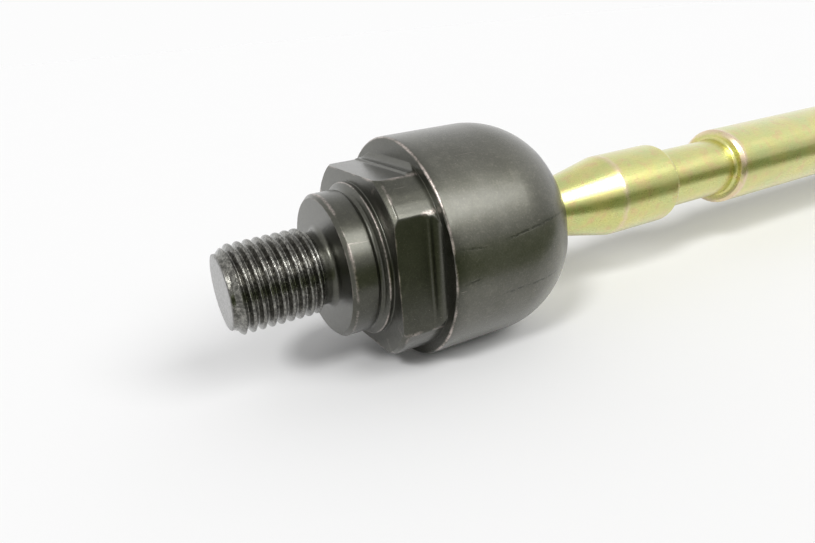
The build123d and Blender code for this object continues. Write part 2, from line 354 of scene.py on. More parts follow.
def write_attribute(piece, name, values):
    """Stores one number per vertex for the material to read."""
    attribute = piece.data.attributes.new(name, "FLOAT", "POINT")
    attribute.data.foreach_set("value", np.asarray(values, dtype=np.float32))


def vertex_table(piece):
    """(x, radius, angle) of every vertex, in millimetres and radians."""
    places = np.zeros(len(piece.data.vertices) * 3)
    piece.data.vertices.foreach_get("co", places)
    x, y, z = (places.reshape(-1, 3) / MM).T
    return x, np.hypot(y, z), np.arctan2(z, y)


def edge_fade(distance, width, strength):
    """A mark that is this strong on an edge and fades over about this width: wear on the housing, painted
    highlight on the tie rod.
    """
    return strength * np.exp(-((distance / width) ** 2))


def rubbed_and_highlit_edges(x, radius, edges):
    """Wear on the housing, and painted highlight on the tie rod, along round edges, each given as (x, radius,
    width, strength).
    """
    edge_wear_and_highlight = np.zeros_like(x)
    for edge_x, edge_radius, width, strength in edges:
        distance = np.hypot(x - edge_x, radius - edge_radius)
        edge_wear_and_highlight = np.maximum(edge_wear_and_highlight, edge_fade(distance, width, strength))
    return edge_wear_and_highlight


# ---------------------------------------------------------------- housing


def flat_height(x):
    """Height of a wrench flat above the axis at this station: flat, a low step, then a fillet."""
    height = FLAT_HEIGHT
    step = np.clip((x - FLAT_STEP_X) / FLAT_STEP_LENGTH, 0, 1)
    height += FLAT_STEP_HEIGHT * step * step * (3 - 2 * step)
    into_fillet = np.clip(x - (BODY_X - FLAT_FILLET), 0, FLAT_FILLET)
    return height + FLAT_FILLET - np.sqrt(FLAT_FILLET**2 - into_fillet**2)


def edge_angle(x, radius):
    """Half the angle that a flat takes up at this station, in radians."""
    return math.acos(min(HIGHEST_FLAT_SHARE, flat_height(x) / radius))


def quarter_shares():
    """Places round half a flat and half a corner, closer together at the edge between them."""
    flat_share = [0, 0.11, 0.22, 0.33, 0.44, 0.55, 0.65, 0.74, 0.82, 0.885, 0.935, 0.97, 0.99, 1.0]
    corner_share = [0.03, 0.08, 0.16, 0.28, 0.42, 0.57, 0.72, 0.86]
    return flat_share, corner_share


def ring_angles(half_flat, quarters, half_quarter):
    """Angles of one ring, measured from +Y, with samples gathered at the flats' edges."""
    flat_share, corner_share = quarter_shares()
    half = [half_flat * share for share in flat_share]
    half += [half_flat + (half_quarter - half_flat) * share for share in corner_share]
    one_side = [-angle for angle in reversed(half[1:])] + half + [half_quarter]
    angles = []
    for number in range(quarters):
        angles += [2 * half_quarter * number + angle for angle in one_side]
    return np.array(angles)


def housing_outline():
    """Outer outline of the stud, collar and ring up to the flange's face."""
    run_out = STUD_RADIUS - UNDERCUT_RADIUS
    return rounded_outline(
        [
            (TIP_X, HUB_RADIUS, 0),
            (TIP_X, TIP_RADIUS, 0.15),
            (TIP_X + STUD_RADIUS - TIP_RADIUS, STUD_RADIUS, 0.2),
            (0, STUD_RADIUS, 0.3),
            (run_out, UNDERCUT_RADIUS, 0.4),
            (SHOULDER_X, UNDERCUT_RADIUS, UNDERCUT_FILLET),
            (SHOULDER_X, COLLAR_RADIUS - COLLAR_CHAMFER, 0.1),
            (SHOULDER_X + COLLAR_CHAMFER, COLLAR_RADIUS, 0.12),
            (COLLAR_END, COLLAR_RADIUS, 0.5),
            ((COLLAR_END + GROOVE_END) / 2, GROOVE_RADIUS, 0.45),
            (GROOVE_END, COLLAR_RADIUS, 0.1),
            (RING_X, RING_RADIUS, 0.1),
            (FLANGE_X, RING_RADIUS, 0.05),
        ],
        spacing=0.3,
    )


def stud_profile(x):
    """Radius of the stud's envelope, which the thread is cut into."""
    chamfer = TIP_RADIUS + (x - TIP_X)
    run_out = STUD_RADIUS - x
    return max(UNDERCUT_RADIUS, min(STUD_RADIUS, chamfer, run_out))


def housing_rings():
    """Rings of the housing, from the middle of the stud's tip round to the middle of the pocket. Rings of
    thread take the outline's place along the stud."""
    half_quarter = math.pi / FLATS_COUNT
    plain_edge = edge_angle(FLANGE_X + 2, FLANGE_RADIUS)
    plain = ring_angles(plain_edge, FLATS_COUNT, half_quarter)
    rings = []
    outline = housing_outline()
    for point in outline:
        if point.x <= TIP_X + TIP_EDGE_LENGTH and point.y <= TIP_RADIUS:
            rings.append((point.x, np.full_like(plain, point.y), plain))
    for x in steps(STUD_THREAD_START, STUD_THREAD_END, PITCH / STUD_RINGS_PER_TURN):
        envelope = np.full_like(plain, stud_profile(x))
        radii = smooth_min(thread_surface(x, plain, STUD_RADIUS), envelope, STUD_THREAD_BLEND)
        rings.append((x, radii, plain))
    for point in outline:
        if point.x > STUD_THREAD_END:
            rings.append((point.x, np.full_like(plain, point.y), plain))
    rings += flange_rings(half_quarter, plain_edge)
    rings += body_rings(plain)
    rings += cavity_rings(plain)
    return rings


def flange_ring(x, radius, half_quarter):
    """One ring of the flange, cut down to the flats."""
    half_flat = edge_angle(x, radius)
    angles = ring_angles(half_flat, FLATS_COUNT, half_quarter)
    from_flat = (angles + half_quarter) % (2 * half_quarter) - half_quarter
    flats = flat_height(x) / np.cos(from_flat)
    rim = np.full_like(angles, radius) + seeded_wave(angles, FLANGE_WEAR_SEED, range(20, 90, 7), FLANGE_WEAR)
    return x, smooth_min(rim, flats, FLAT_EDGE_ROUNDING), angles


def flange_rings(half_quarter, plain_edge):
    """The flange's front face, chamfer and rim, and the body's front face behind it."""
    front = flange_ring(FLANGE_X, FLANGE_RADIUS - FLANGE_CHAMFER_DEPTH, half_quarter)
    rings = []
    for share in (0.02, 0.1, 0.3, 0.55, 0.8, 0.95, 0.99):
        radii = RING_RADIUS + (front[1] - RING_RADIUS) * share
        rings.append((FLANGE_X, radii, front[2]))
    for x in steps(FLANGE_X, FLANGE_X + FLANGE_CHAMFER_LENGTH, 0.15):
        chamfer = FLANGE_RADIUS - FLANGE_CHAMFER_DEPTH
        chamfer += FLANGE_CHAMFER_DEPTH * (x - FLANGE_X) / FLANGE_CHAMFER_LENGTH
        rings.append(flange_ring(x, chamfer, half_quarter))
    for x in steps(FLANGE_X + FLANGE_CHAMFER_LENGTH, FLAT_STEP_X, 0.35)[1:]:
        rings.append(flange_ring(x, FLANGE_RADIUS, half_quarter))
    for x in steps(FLAT_STEP_X, BODY_X - 0.01, 0.07)[1:]:
        rings.append(flange_ring(x, FLANGE_RADIUS, half_quarter))
    root = rings[-1]
    top = BODY_RADIUS - BODY_EDGE
    plain = ring_angles(plain_edge, FLATS_COUNT, half_quarter)
    for share in (0.04, 0.12, 0.25, 0.4, 0.55, 0.7, 0.82, 0.92, 0.98):
        radii = root[1] + (top - root[1]) * share
        angles = root[2] + (plain - root[2]) * share
        rings.append((BODY_X, radii, angles))
    return rings


def dome_radius(angle):
    """Distance from the ball's centre to the outer dome, in the direction of this angle from +X."""
    along = (DOME_X - BALL_X) * math.cos(angle) + (BODY_RADIUS - DOME_RADIUS) * math.sin(angle)
    off_centre = (DOME_X - BALL_X) ** 2 + (BODY_RADIUS - DOME_RADIUS) ** 2
    return along + math.sqrt(along**2 + DOME_RADIUS**2 - off_centre)


def mouth_point(depth):
    """Point on the mouth's conical land, this far in from the outer dome."""
    turn = math.radians(MOUTH_ANGLE)
    reach = dome_radius(turn) - depth
    return Vector((BALL_X + reach * math.cos(turn), reach * math.sin(turn)))


def body_rings(plain):
    """The body's rim, side and dome, with the rolled mouth's slight facets."""
    worn_edge = seeded_wave(plain, BODY_EDGE_SEED, range(9, 70, 4), BODY_EDGE_WAVES)
    rings = []
    for point in arc_points(BODY_X + BODY_EDGE, BODY_RADIUS - BODY_EDGE, BODY_EDGE, 180, 90, 0.12):
        rings.append((point.x, np.full_like(plain, point.y) + worn_edge - BODY_EDGE_WEAR, plain))
    for x in steps(BODY_X + BODY_EDGE, DOME_X, 0.5)[1:]:
        fade = math.exp(-(x - BODY_X) / BODY_EDGE_WEAR_LENGTH)
        rings.append((x, np.full_like(plain, BODY_RADIUS) + (worn_edge - BODY_EDGE_WEAR) * fade, plain))
    mouth = mouth_point(0)
    mouth_angle = math.degrees(math.atan2(mouth.y - (BODY_RADIUS - DOME_RADIUS), mouth.x - DOME_X))
    facets = rolled_facets(plain)
    for point in arc_points(DOME_X, BODY_RADIUS - DOME_RADIUS, DOME_RADIUS, 90, mouth_angle + 1.0, 0.35)[1:]:
        near_mouth = max(0.0, 1 - (mouth - point).length / LIP_LENGTH) ** 1.5
        rings.append((point.x, np.full_like(plain, point.y) - facets * near_mouth, plain))
    return rings


def rolled_facets(angles):
    """How far the rolled lip is pressed in at each angle: a few broad, uneven facets."""
    random = np.random.default_rng(FACET_SEED)
    scatter = random.uniform(-FACET_SCATTER, FACET_SCATTER, FACET_COUNT)
    places = np.sort((np.arange(FACET_COUNT) + scatter) / FACET_COUNT)
    share = (angles / (2 * math.pi)) % 1.0
    distance = np.abs((share[:, None] - places[None, :] + 0.5) % 1.0 - 0.5).min(axis=1) * FACET_COUNT
    return LIP_DEPTH + FACET_DEPTH * np.clip(1 - (distance / 0.5) ** 2, 0, 1)


def cavity_rings(plain):
    """The mouth's land, the ball's cavity and the pocket for the spring."""
    facets = rolled_facets(plain)
    rings = []
    for depth, share in ((0.18, 0.9), (0.5, 0.6), (1.0, 0.3)):
        point = mouth_point(depth)
        rings.append((point.x, np.full_like(plain, point.y) - facets * share, plain))
    cavity = arc_points(BALL_X, 0, CAVITY_RADIUS, MOUTH_ANGLE, 90, 0.8)
    taper_end = CAVITY_CYLINDER_X - (CAVITY_RADIUS - POCKET_RADIUS)
    pocket = rounded_outline(
        [
            (BALL_X, CAVITY_RADIUS, 0),
            (CAVITY_CYLINDER_X, CAVITY_RADIUS, 0.3),
            (taper_end, POCKET_RADIUS, 0.3),
            (POCKET_X, POCKET_RADIUS, 0.3),
            (POCKET_X, HUB_RADIUS, 0),
        ],
        spacing=1.5,
    )
    for point in cavity + pocket[1:]:
        rings.append((point.x, np.full_like(plain, point.y), plain))
    return rings


def make_housing():
    piece = mesh_from_rings("forged_housing", housing_rings())
    x, radius, angle = vertex_table(piece)
    half_quarter = math.pi / FLATS_COUNT
    from_flat = np.abs((angle + half_quarter) % (2 * half_quarter) - half_quarter)
    edge_wear_and_highlight = rubbed_and_highlit_edges(
        x,
        radius,
        (
            (BODY_X + 0.12, BODY_RADIUS - 0.12, 0.22, 1.0),
            (FLANGE_X + FLANGE_CHAMFER_LENGTH, FLANGE_RADIUS, 0.3, 0.75),
            (FLANGE_X, FLANGE_RADIUS - FLANGE_CHAMFER_DEPTH, 0.2, 0.35),
            (SHOULDER_X, COLLAR_RADIUS - COLLAR_CHAMFER, 0.2, 0.3),
            (SHOULDER_X + COLLAR_CHAMFER, COLLAR_RADIUS, 0.3, 0.6),
            (RING_X, RING_RADIUS, 0.16, 0.8),
        ),
    )
    on_flange = (x > FLANGE_X - 0.01) & (x < BODY_X - 0.2) & (radius > FLAT_HEIGHT)
    half_flat = np.arccos(np.clip(FLAT_HEIGHT / FLANGE_RADIUS, 0, 1))
    corner_distance = np.abs(from_flat - half_flat) * FLANGE_RADIUS
    edge_wear_and_highlight = np.maximum(edge_wear_and_highlight, np.where(on_flange, edge_fade(corner_distance, 0.35, 0.8), 0))
    on_flat = on_flange & (from_flat < half_flat)
    front_distance = np.hypot(x - FLANGE_X, radius * np.cos(from_flat) - FLAT_HEIGHT)
    edge_wear_and_highlight = np.maximum(edge_wear_and_highlight, np.where(on_flat, edge_fade(front_distance, 0.2, 0.8), 0))
    write_attribute(piece, "edge_wear_and_highlight", edge_wear_and_highlight)
    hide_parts("housing")
    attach(piece, "socket")
    return piece


# ---------------------------------------------------------------- tie rod


def rod_outline():
    """Outline of the rod from the ball's neck to the relief in front of the outer thread."""
    neck_angle = math.asin(NECK_RADIUS / BALL_RADIUS)
    neck_x = BALL_X + BALL_RADIUS * math.cos(neck_angle)
    band_drop = BAND_RADIUS - BOOT_GROOVE_RADIUS
    return rounded_outline(
        [
            (neck_x - 0.6, NECK_RADIUS + NECK_BLEND, 0),
            (neck_x, NECK_RADIUS, 1.0),
            (NECK_END, NECK_RADIUS, 3.0),
            (CONE_END, BAND_RADIUS, 1.0),
            (BAND_END, BAND_RADIUS, BAND_EDGE),
            (BAND_END + band_drop / 2, BOOT_GROOVE_RADIUS, 0.9),
            (BOOT_GROOVE_END, BOOT_GROOVE_RADIUS, 0.9),
            (BOOT_GROOVE_END, ROD_RADIUS - ROD_EDGE, 0.12),
            (BOOT_GROOVE_END + ROD_EDGE, ROD_RADIUS, 0.25),
            (RELIEF_X - (ROD_RADIUS - RELIEF_RADIUS), ROD_RADIUS, 0.2),
            (RELIEF_X, RELIEF_RADIUS, 0.5),
            (RELIEF_X + RELIEF_LENGTH - 1.2, RELIEF_RADIUS, 0),
        ],
        spacing=1.2,
    )


def rod_flat_height(x):
    """Height of the rod's wrench flats at this station; above the rod's surface elsewhere."""
    start = ROD_FLATS_X
    end = ROD_FLATS_X + ROD_FLATS_LENGTH
    if x <= start or x >= end:
        return 2 * ROD_RADIUS
    into_end = max(0.0, start + ROD_FLATS_RADIUS - x, x - (end - ROD_FLATS_RADIUS))
    return ROD_FLAT_HEIGHT + ROD_FLATS_RADIUS - math.sqrt(ROD_FLATS_RADIUS**2 - into_end**2)


def rod_thread_profile(x):
    """Envelope that the outer thread is cut into."""
    start = RELIEF_X + RELIEF_LENGTH
    if x < start:
        run_in = OUTER_THREAD_RADIUS - (start - x)
        return max(RELIEF_RADIUS, min(OUTER_THREAD_RADIUS, run_in))
    chamfer = OUTER_THREAD_RADIUS - OUTER_CHAMFER + (ROD_END - x)
    return min(OUTER_THREAD_RADIUS, chamfer)


def rod_rings():
    """Rings of the tie rod, from the ball's rear flat to the outer end."""
    angles = np.linspace(0, 2 * math.pi, ROD_SEGMENTS, endpoint=False)
    rear_angle = math.degrees(math.pi - math.asin(BALL_REAR_FLAT_RADIUS / BALL_RADIUS))
    neck_angle = math.degrees(math.asin((NECK_RADIUS + NECK_BLEND) / BALL_RADIUS))
    ball = arc_points(BALL_X, 0, BALL_RADIUS, rear_angle, neck_angle, 0.6)
    points = [Vector((ball[0].x, HUB_RADIUS))] + ball + rod_outline()[1:]
    flats_end = ROD_FLATS_X + ROD_FLATS_LENGTH
    rings = []
    for point in points:
        if not ROD_FLATS_X - ROD_FLATS_GAP < point.x < flats_end + ROD_FLATS_GAP:
            rings.append((point.x, np.full_like(angles, point.y), angles))
    for x in steps(ROD_FLATS_X - ROD_FLATS_REACH, flats_end + ROD_FLATS_REACH, 0.3):
        flats = rod_flat_height(x) / np.maximum(0.05, np.abs(np.sin(angles)))
        rings.append((x, smooth_min(np.full_like(angles, ROD_RADIUS), flats, ROD_FLATS_BLEND), angles))
    for x in steps(RELIEF_X + RELIEF_LENGTH - 1.15, ROD_END - 0.02, PITCH / OUTER_RINGS_PER_TURN):
        envelope = np.full_like(angles, rod_thread_profile(x))
        radii = smooth_min(thread_surface(x, angles, OUTER_THREAD_RADIUS), envelope, OUTER_THREAD_BLEND)
        rings.append((x, radii, angles))
    rings.sort(key=lambda ring: ring[0])
    end_radius = OUTER_THREAD_RADIUS - OUTER_CHAMFER
    for share in (0.97, 0.9, 0.6, 0.1):
        rings.append((ROD_END, np.full_like(angles, end_radius * share), angles))
    return rings


def make_rod():
    piece = mesh_from_rings("plated_tie_rod", rod_rings())
    x, radius, _ = vertex_table(piece)
    # Painted highlights: thin bright lines along the cone's end and both edges of the step at the boot groove's
    # end.
    edge_wear_and_highlight = rubbed_and_highlit_edges(
        x,
        radius,
        (
            (CONE_END, BAND_RADIUS, 0.35, 0.6),
            (BOOT_GROOVE_END, ROD_RADIUS - ROD_EDGE, 0.2, 0.6),
            (BOOT_GROOVE_END + ROD_EDGE, ROD_RADIUS, 0.25, 1.0),
        ),
    )
    write_attribute(piece, "edge_wear_and_highlight", edge_wear_and_highlight)
    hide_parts("tie_rod")
    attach(piece, "rod")
    return piece


# ---------------------------------------------------------------- materials


class Nodes:
    """Short calls for the few kinds of node that the materials and the room's light share."""

    def __init__(self, tree):
        self.tree = tree

    def feed(self, node, socket, value):
        """Gives a node's input a plain value, or links another node's output to it."""
        if isinstance(value, bpy.types.NodeSocket):
            self.tree.links.new(value, node.inputs[socket])
        else:
            node.inputs[socket].default_value = value

    def remap(self, value, low, high, new_low=0.0, new_high=1.0, kind="LINEAR"):
        node = self.tree.nodes.new("ShaderNodeMapRange")
        node.interpolation_type = kind
        self.feed(node, "Value", value)
        node.inputs["From Min"].default_value = low
        node.inputs["From Max"].default_value = high
        node.inputs["To Min"].default_value = new_low
        node.inputs["To Max"].default_value = new_high
        return node.outputs["Result"]

    def math(self, operation, first, second):
        node = self.tree.nodes.new("ShaderNodeMath")
        node.operation = operation
        self.feed(node, 0, first)
        self.feed(node, 1, second)
        return node.outputs[0]

    def mix(self, share, first, second):
        """A number between two others."""
        node = self.tree.nodes.new("ShaderNodeMix")
        self.feed(node, "Factor", share)
        self.feed(node, "A", first)
        self.feed(node, "B", second)
        return node.outputs[0]


class Surface(Nodes):
    """A new material, with its shader and the piece's own coordinates."""

    def __init__(self, name):
        self.material = bpy.data.materials.new(name)
        self.material.use_nodes = True
        super().__init__(self.material.node_tree)
        self.shader = self.tree.nodes["Principled BSDF"]
        self.place = self.tree.nodes.new("ShaderNodeTexCoord").outputs["Object"]

    def set(self, socket, value):
        self.feed(self.shader, socket, value)

    def stretched(self, scale):
        """The piece's own coordinates, scaled along each axis."""
        node = self.tree.nodes.new("ShaderNodeMapping")
        self.feed(node, "Vector", self.place)
        node.inputs["Scale"].default_value = scale
        return node.outputs["Vector"]

    def noise(self, size, detail=3.0, roughness=0.55, vector=None):
        """Noise from 0 to 1 whose blotches are about this many millimetres across."""
        node = self.tree.nodes.new("ShaderNodeTexNoise")
        self.feed(node, "Vector", vector or self.place)
        node.inputs["Scale"].default_value = 1 / (size * MM)
        node.inputs["Detail"].default_value = detail
        node.inputs["Roughness"].default_value = roughness
        return node.outputs["Fac"]

    def cells(self, size):
        """Distance to the nearest of scattered points, for specks and pits."""
        node = self.tree.nodes.new("ShaderNodeTexVoronoi")
        self.feed(node, "Vector", self.place)
        node.inputs["Scale"].default_value = 1 / (size * MM)
        return node.outputs["Distance"]

    def attribute(self, name):
        node = self.tree.nodes.new("ShaderNodeAttribute")
        node.attribute_name = name
        return node.outputs["Fac"]

    def axial(self):
        """Distance along the part's axis, in metres."""
        node = self.tree.nodes.new("ShaderNodeSeparateXYZ")
        self.feed(node, "Vector", self.place)
        return node.outputs["X"]

    def round_axis(self):
        """Angle round the part's axis from +Y, in radians."""
        node = self.tree.nodes.new("ShaderNodeSeparateXYZ")
        self.feed(node, "Vector", self.place)
        return self.math("ARCTAN2", node.outputs["Z"], node.outputs["Y"])

    def blend(self, share, first, second, kind="MIX"):
        """A colour between two others, or the first multiplied by the second."""
        node = self.tree.nodes.new("ShaderNodeMix")
        node.data_type = "RGBA"
        node.blend_type = kind
        self.feed(node, "Factor", share)
        for socket, value in ((6, first), (7, second)):
            self.feed(node, socket, (*value, 1.0) if isinstance(value, tuple) else value)
        return node.outputs[2]

    def bump(self, height, distance, strength=1.0, below=None):
        """Fine relief of this height in millimetres."""
        node = self.tree.nodes.new("ShaderNodeBump")
        self.feed(node, "Height", height)
        node.inputs["Distance"].default_value = distance * MM
        node.inputs["Strength"].default_value = strength
        if below is not None:
            self.feed(node, "Normal", below)
        return node.outputs["Normal"]


def seam_mask(n, axial):
    """Where the body's fine seams run, from 0 to 1."""
    wobble = n.math("MULTIPLY", n.math("SUBTRACT", n.noise(1.5, 2.0), 0.5), SEAM_WOBBLE)
    turned = n.math("ADD", n.round_axis(), wobble)
    total = 0.0
    for angle, start, end, drift in SEAMS:
        start_turn = math.radians(angle if angle <= 180 else angle - 360)
        along = n.math("SUBTRACT", axial, start * MM)
        line = n.math("MULTIPLY", along, math.radians(drift) / MM)
        line = n.math("ADD", line, start_turn)
        gap = n.math("ABSOLUTE", n.math("SUBTRACT", turned, line), 0.0)
        mark = n.remap(gap, SEAM_HALF_WIDTH, SEAM_SOFT_EDGE * SEAM_HALF_WIDTH, 1.0, 0.0)
        fade_in = n.remap(axial, start * MM, (start + SEAM_START_FADE) * MM)
        mark = n.math("MULTIPLY", mark, fade_in)
        fade_out = n.remap(axial, (end - SEAM_END_FADE) * MM, end * MM, 1.0, 0.0)
        mark = n.math("MULTIPLY", mark, fade_out)
        total = n.math("MAXIMUM", mark, total)
    breaks = n.remap(n.noise(0.8, 3.0, 0.7), 0.38, 0.55, 0.15, 1.0)
    return n.math("MULTIPLY", total, breaks)


def bare_mask(n):
    """Where the coating is rubbed or flecked through, from 0 to 1."""
    patches = n.remap(n.noise(2.6, 2.0), 0.50, 0.58)
    specks = n.math("MULTIPLY", n.remap(n.cells(0.7), 0.0, 0.12, 1.0, 0.0), patches)
    rubs = n.remap(n.noise(0.22, 2.0, 0.6, n.stretched((0.035, 1.0, 1.0))), 0.68, 0.74)
    rubs = n.math("MULTIPLY", rubs, n.remap(n.noise(7.0, 2.0), 0.52, 0.62))
    flecks = n.math("MAXIMUM", specks, rubs)
    wear_break = n.remap(n.noise(0.45, 3.0, 0.7), 0.3, 0.6, 0.25, 1.0)
    wear_patch = n.remap(n.noise(5.0, 2.0), 0.40, 0.62, 0.12, 1.0)
    edge_wear_and_highlight = n.math("MULTIPLY", n.attribute("edge_wear_and_highlight"), n.math("MULTIPLY", wear_break, wear_patch))
    return n.math("MAXIMUM", n.remap(edge_wear_and_highlight, 0.1, 0.7), n.math("MULTIPLY", flecks, 0.45))


def phosphated_steel():
    """Dark olive-grey phosphate: satin, speckled, rubbed bright on its edges, oily on the thread."""
    n = Surface("black_phosphate")
    axial = n.axial()
    broad = n.noise(9.0, 4.0)
    mottle = n.noise(1.1, 3.0, 0.6)
    grit = n.noise(0.5, 3.0, 0.7)
    dust = n.noise(0.32, 3.0, 0.75)
    grain = n.noise(0.16, 2.0, 0.7)
    seams = seam_mask(n, axial)
    bare = bare_mask(n)

    # Zones along the part
    on_tip = n.remap(axial, (TIP_X + 0.03) * MM, (TIP_X + 0.12) * MM, 1.0, 0.0)
    on_thread = n.remap(axial, 0.6 * MM, 1.6 * MM, 1.0, 0.0)
    on_body = n.remap(axial, (BODY_X + 0.2) * MM, (BODY_X + 2.5) * MM)
    uneven = n.remap(n.noise(2.2, 2.0), 0.3, 0.7, -0.6 * MM, 0.6 * MM)
    on_lip = n.remap(n.math("ADD", axial, uneven), LIP_X * MM, (LIP_X + 1.2) * MM)

    # Colour
    colour = n.blend(on_body, MACHINED_GREY, FORGED_GREY)
    oily_colour = n.blend(n.remap(grit, 0.42, 0.62), OILY_DARK, OILY_LIGHT)
    colour = n.blend(on_thread, colour, oily_colour)
    darker = n.blend(1.0, colour, DARKER, "MULTIPLY")
    lighter = n.blend(1.0, colour, LIGHTER, "MULTIPLY")
    colour = n.blend(n.remap(broad, 0.38, 0.60, 0.8, 0.0), colour, darker)
    colour = n.blend(n.remap(mottle, 0.5, 0.75, 0.0, 0.22), colour, lighter)
    colour = n.blend(n.remap(dust, 0.52, 0.72, 0.0, 0.38), colour, lighter)
    colour = n.blend(n.remap(dust, 0.30, 0.46, 0.5, 0.0), colour, darker)
    colour = n.blend(n.math("MULTIPLY", seams, 0.55), colour, SEAM_BLACK)
    colour = n.blend(n.math("MULTIPLY", on_lip, 0.75), colour, LIP_BLACK)
    colour = n.blend(bare, colour, BARE_STEEL)
    tip_colour = n.blend(n.remap(grit, 0.35, 0.65), TIP_DARK, TIP_LIGHT)
    n.set("Base Color", n.blend(on_tip, colour, tip_colour))

    # Gloss
    n.set("Metallic", n.remap(on_tip, 0.0, 1.0, 1.0, 0.6))
    n.set("Coat Weight", 0.7)
    n.set("Coat Roughness", n.remap(grain, 0.3, 0.7, 0.20, 0.28))
    cloudy = n.math("ADD", broad, grain)
    machined = n.remap(cloudy, 0.7, 1.3, 0.29, 0.38)
    forged = n.remap(cloudy, 0.7, 1.3, 0.355, 0.455)
    satin = n.mix(on_body, machined, forged)
    oily = n.remap(mottle, 0.3, 0.7, 0.16, 0.28)
    on_oil = n.math("MULTIPLY", on_thread, n.math("SUBTRACT", 1.0, on_tip))
    n.set("Roughness", n.mix(on_oil, satin, oily))

    # Relief
    relief = n.bump(mottle, 0.03, 0.35)
    relief = n.bump(dust, 0.02, 0.5, relief)
    relief = n.bump(grain, 0.016, 0.6, relief)
    relief = n.bump(n.math("MULTIPLY", grit, on_thread), 0.06, 0.55, relief)
    relief = n.bump(seams, -0.04, 0.5, relief)
    n.set("Normal", n.bump(bare, -0.02, 0.4, relief))
    return n.material


def yellow_zinc(name, extra_roughness):
    """Zinc plate with yellow chromate: glossy, with soft gold, green and pink clouds, and painted highlight along
    the rod's round edges.
    """
    n = Surface(name)
    clouds = n.noise(6.0, 3.0)
    patches = n.noise(2.2, 3.0, 0.6)
    lengthwise = n.noise(1.4, 3.0, 0.6, n.stretched((0.12, 1.0, 1.0)))
    grain = n.noise(0.22, 2.0, 0.7)
    colour = n.blend(n.remap(clouds, 0.35, 0.65), ZINC_GOLD, ZINC_GREEN)
    colour = n.blend(n.remap(patches, 0.50, 0.68, 0.0, 0.75), colour, ZINC_PINK)
    colour = n.blend(n.remap(lengthwise, 0.5, 0.75, 0.0, 0.5), colour, ZINC_STREAK)
    colour = n.blend(n.remap(grain, 0.45, 0.72, 0.0, 0.6), colour, ZINC_OLIVE)
    # Painted highlight: the bright edge lines stored on the rod, broken up by noise, in pale bronze.
    edge_wear_and_highlight = n.math("MULTIPLY", n.attribute("edge_wear_and_highlight"), n.remap(n.noise(1.6, 2.0), 0.3, 0.5, 0.3, 1.0))
    colour = n.blend(n.remap(edge_wear_and_highlight, 0.1, 0.8, 0.0, 0.85), colour, ZINC_PAINTED_HIGHLIGHT)
    n.set("Base Color", colour)
    n.set("Metallic", 1.0)
    smoothest = 0.23 + extra_roughness
    roughest = 0.36 + extra_roughness
    n.set("Roughness", n.remap(n.math("ADD", lengthwise, grain), 0.7, 1.3, smoothest, roughest))
    n.set("Coat Weight", 0.6)
    n.set("Coat Roughness", 0.2)
    coarse = n.bump(n.noise(0.7, 2.0), 0.02, 0.3)
    n.set("Normal", n.bump(grain, 0.02, 0.5, coarse))
    return n.material


def simple_metal(name, first, second, roughness, grain_size):
    """Plain machined metal with faint blotches of two tones and fine grain."""
    n = Surface(name)
    blotch = n.noise(2.5, 3.0)
    grain = n.noise(grain_size, 2.0, 0.65)
    n.set("Base Color", n.blend(n.remap(blotch, 0.35, 0.65), first, second))
    n.set("Metallic", 1.0)
    n.set("Roughness", n.remap(grain, 0.3, 0.7, roughness - 0.06, roughness + 0.06))
    n.set("Normal", n.bump(grain, 0.01, 0.4))
    return n.material


def acetal():
    """Natural white moulded acetal, faintly cloudy, with a film of grease in places."""
    n = Surface("natural_acetal")
    cloud = n.noise(3.0, 3.0)
    grain = n.noise(0.3, 2.0, 0.6)
    n.set("Base Color", n.blend(n.remap(cloud, 0.4, 0.7), ACETAL_WHITE, ACETAL_CREAM))
    n.set("Roughness", n.remap(cloud, 0.35, 0.65, 0.28, 0.42))
    n.set("Subsurface Weight", 0.1)
    n.set("Normal", n.bump(grain, 0.01, 0.3))
    return n.material


def lithium_grease():
    """Amber grease: glossy, uneven, slightly cloudy."""
    n = Surface("amber_grease")
    smear = n.noise(1.6, 4.0, 0.6)
    n.set("Base Color", n.blend(n.remap(smear, 0.35, 0.65), GREASE_AMBER, GREASE_BROWN))
    n.set("Roughness", n.remap(smear, 0.3, 0.7, 0.14, 0.3))
    n.set("Normal", n.bump(smear, 0.12, 0.6))
    return n.material


def give(piece, material):
    """Puts one material on every slot of a piece or CAD node."""
    if not piece.material_slots:
        piece.data.materials.append(material)
    for slot in piece.material_slots:
        slot.material = material


def dress_pieces():
    housing = make_housing()
    rod = make_rod()
    give(housing, phosphated_steel())
    give(rod, yellow_zinc("yellow_zinc_rod", 0.0))
    seats = acetal()
    for node, material in {
        "rear_ball_seat": seats,
        "front_ball_seat": seats,
        "preload_disc_spring": simple_metal("blued_spring_steel", SPRING_BLUE, SPRING_GREY, 0.3, 0.3),
        "thrust_washer": simple_metal("ground_steel", WASHER_LIGHT, WASHER_DARK, 0.26, 0.2),
        "ball_grease": lithium_grease(),
        "jam_nut": yellow_zinc("yellow_zinc_nut", 0.03),
    }.items():
        give(frame["nodes"][node], material)


# ---------------------------------------------------------------- studio


def make_camera():
    camera = bpy.data.cameras.new("camera")
    camera.lens = CAMERA_LENS
    camera.clip_start = CAMERA_NEAREST * MM
    holder = bpy.data.objects.new("camera", camera)
    bpy.context.scene.collection.objects.link(holder)
    backward = -Vector(CAMERA_DIRECTION).normalized()
    right = Vector(CAMERA_UP).cross(backward).normalized()
    up = backward.cross(right)
    turn = Matrix((right, up, backward)).transposed()
    holder.matrix_world = Matrix.Translation(Vector(CAMERA_POSITION) * MM) @ turn.to_4x4()
    bpy.context.scene.camera = holder


